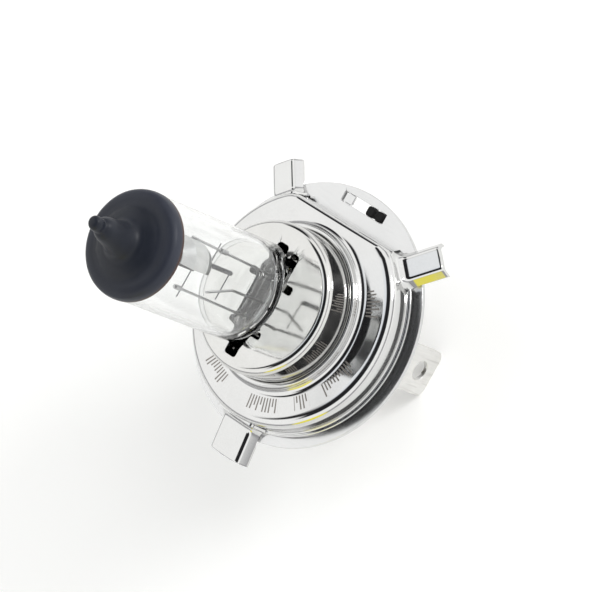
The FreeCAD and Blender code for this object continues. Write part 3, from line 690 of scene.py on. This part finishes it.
phenolic = Recipe(bpy.data.materials.new("moulded_phenolic"))
cloud, speck = phenolic.noise(3.0, 4.0), phenolic.noise(0.25, 2.0)
phenolic.surface({"IOR": 1.55}, {
    "Base Color": phenolic.mix(cloud * 0.7 + speck * 0.3, (0.018, 0.017, 0.017), (0.05, 0.048, 0.046)),
    "Roughness": 0.42 + 0.22 * speck, "Normal": phenolic.bump(speck + cloud, 0.5, 0.06)})
finish_on("insulator", phenolic)

# ---------------------------------------------------------------------------------------------
# Terminal blades: flat strips of tinned brass with rounded ends and a detent hole, each bent
# into a foot at its root and riveted to the insulator.

blade_end, blade_half, blade_thick, blade_corner = -24.5, 4.0, 0.8, 1.6
detent_height, detent_radius = -20.6, 1.7
standing_up = Matrix(((0, 0, 1, 0), (1, 0, 0, 0), (0, 1, 0, 0), (0, 0, 0, 1)))


def streaks(recipe, colour, gloss, relief):
    """Long scuffs from the plugs pushed on."""
    scuff = recipe.ramp(recipe.noise(0.5, 3.0, (1, 1, 0.05)), 0.58, 0.7)
    return recipe.mix(scuff * 0.4, colour, (0.5, 0.49, 0.47)), gloss + 0.12 * scuff, relief


tin_plate = metal("tinned_blade", (0.72, 0.715, 0.70), (0.82, 0.815, 0.80), (0.26, 0.38),
                  (0.25, (1, 1, 0.08)), cloud_size=5.0, extra=streaks)


def blade(name, node_name, standing, foot_end, turn):
    """A standing strip with its foot turned inwards, placed at a turn round the axis."""
    foot_low, foot_high = -5.6, -4.8
    profile = [(standing - blade_thick / 2, blade_end), (standing + blade_thick / 2, blade_end),
               (standing + blade_thick / 2, foot_high, 0.7), (foot_end, foot_high),
               (foot_end, foot_low), (standing - blade_thick / 2, foot_low, 0.15)]
    made = plate(name, rounded(profile, 5), -blade_half, blade_half, [node_name],
                 turned=Matrix.Rotation(math.pi / 2, 4, "X"))
    circle = [(detent_radius * math.cos(a), detent_height + detent_radius * math.sin(a))
              for a in np.linspace(0, 2 * math.pi, 49)[:-1]]
    quarter = np.linspace(0, math.pi / 2, 9)
    corner = [(-0.6, -0.6), (1, -0.6), *[(1 - math.sin(a), 1 - math.cos(a)) for a in quarter], (-0.6, 1)]
    outlines = [circle]
    for side in (-1, 1):
        outlines.append([(side * (blade_half - blade_corner * u), blade_end + blade_corner * v)
                         for u, v in corner])
    punches = [prism("blade_punch", outline, standing - 2, standing + 2, standing_up)
               for outline in outlines]
    made = punched(made, punches, edge=0.1)
    made.data.transform(Matrix.Rotation(math.radians(turn), 4, "Z"))
    finish_on(made, tin_plate)


blade("right_terminal", "blade_right", 10.0, 5.4, 0)
blade("left_terminal", "blade_left", 10.0, 5.4, 180)
blade("top_terminal", "blade_top", 9.2, 4.1, 90)

# ---------------------------------------------------------------------------------------------
# Rivets and solder: a headed brass rivet through each foot, and a cone of solder on each lead.

rivet_brass = metal("headed_brass", (0.42, 0.32, 0.15), (0.66, 0.53, 0.28), (0.25, 0.4),
                    (0.2, (1, 1, 1)))
finish_on("terminal_rivets", rivet_brass)
solder = metal("dull_solder", (0.38, 0.38, 0.38), (0.58, 0.58, 0.57), (0.4, 0.6), (0.3, (1, 1, 1)))
finish_on("solder_joints", solder)

# ---------------------------------------------------------------------------------------------
# Studio: a pale tabletop, two round soft lamps and the camera, in a bright room with a grey
# horizon.  The plating reflects a dark band overhead, with a gap in it, and a dark, a warm and a
# bright patch at the sides.  The lamps and the camera are placed in metres.

table_half = 4000
floor = piece("floor", [(x * table_half, y * table_half, blade_end)
                        for x, y in ((-1, -1), (1, -1), (1, 1), (-1, 1))], [(0, 1, 2, 3)], None)
tabletop = Recipe(bpy.data.materials.new("pale_tabletop"))
tabletop.surface({"IOR": 1.4, "Roughness": 0.7, "Emission Color": (1.0, 1.0, 0.99),
                  "Emission Strength": 0.17}, {
    "Base Color": tabletop.mix(tabletop.noise(60.0, 4.0), (0.90, 0.90, 0.89), (0.93, 0.93, 0.925))})
finish_on(floor, tabletop)

world = bpy.data.worlds.new("studio_room")
bpy.context.scene.world = world
room = Recipe(world)
direction = room.add("ShaderNodeTexCoord")


def toward(aim, near, far):
    """A soft round patch about a direction, with its inner and outer half-angles."""
    unit = Vector(aim).normalized()
    along = room.add("ShaderNodeVectorMath", {"operation": "DOT_PRODUCT"}, [direction, tuple(unit)], out=1)
    return room.ramp(along, math.cos(math.radians(far)), math.cos(math.radians(near)))


near_black, white = (0.02, 0.02, 0.022), (1.0, 1.0, 1.0)
aside = room.add("ShaderNodeSeparateXYZ", {}, [direction])
sky = room.add("ShaderNodeSeparateXYZ", {}, [direction], out=2)
walls = room.mix(room.ramp(sky, 0.12, 0.33), (0.36, 0.36, 0.37), (1.0, 1.0, 0.99))
bright_room = room.mix(room.ramp(sky, 0.82, 1.0), walls, (0.84, 0.87, 0.91))
band_gap = toward((0.28, 0.66, 0.70), 8, 14)
band_below, band_above = room.ramp(sky, 0.66, 0.72), room.ramp(sky + 0.25 * aside, 1.0, 0.96)
dark_band = band_below * band_above * room.ramp(aside, 0.50, 0.42) * (1 - band_gap)
seen = room.mix(dark_band, bright_room, near_black)
for aim, near, far, tone in (((0.585, -0.72, 0.37), 10, 16, near_black),
                             ((-0.31, 0.94, 0.08), 11, 16, (0.95, 0.86, 0.10)),
                             ((-0.45, -0.88, 0.10), 12, 20, white)):
    seen = room.mix(toward(aim, near, far), seen, tone)
camera_ray = room.add("ShaderNodeLightPath")
backdrop = world.node_tree.nodes["Background"]
room.feed(backdrop.inputs["Color"], room.mix(camera_ray, seen, white))
room.feed(backdrop.inputs["Strength"], 1.3)

for label, spot, size, power in (("key", (-0.26, -0.32, 0.43), 0.28, 0.95),
                                 ("side", (-0.30, -0.40, 0.19), 0.14, 0.8)):
    lamp = bpy.data.lights.new(label + "_softbox", "AREA")
    lamp.shape, lamp.size, lamp.energy = "DISK", size, power
    holder = bpy.data.objects.new(label + "_softbox", lamp)
    bpy.context.scene.collection.objects.link(holder)
    holder.location = spot
    holder.visible_glossy = label == "side"
    holder.visible_transmission = False
    holder.rotation_euler = Vector(spot).to_track_quat("Z", "Y").to_euler()

right = Vector((-0.68335744, -0.4831327, -0.54736222))
up = Vector((0.43701692, -0.87126124, 0.22342798))
back = right.cross(up)
camera_data = bpy.data.cameras.new("camera")
camera_data.sensor_width, camera_data.lens, camera_data.clip_start = 36, 215.844, 0.01
camera = bpy.data.objects.new("camera", camera_data)
bpy.context.scene.collection.objects.link(camera)
turned = Matrix((right, up, back)).transposed().to_4x4()
camera.matrix_world = Matrix.Translation((-0.3252, -0.0502061, 0.4531389)) @ turned
bpy.context.scene.camera = camera
bpy.context.scene.view_settings.view_transform = "Standard"
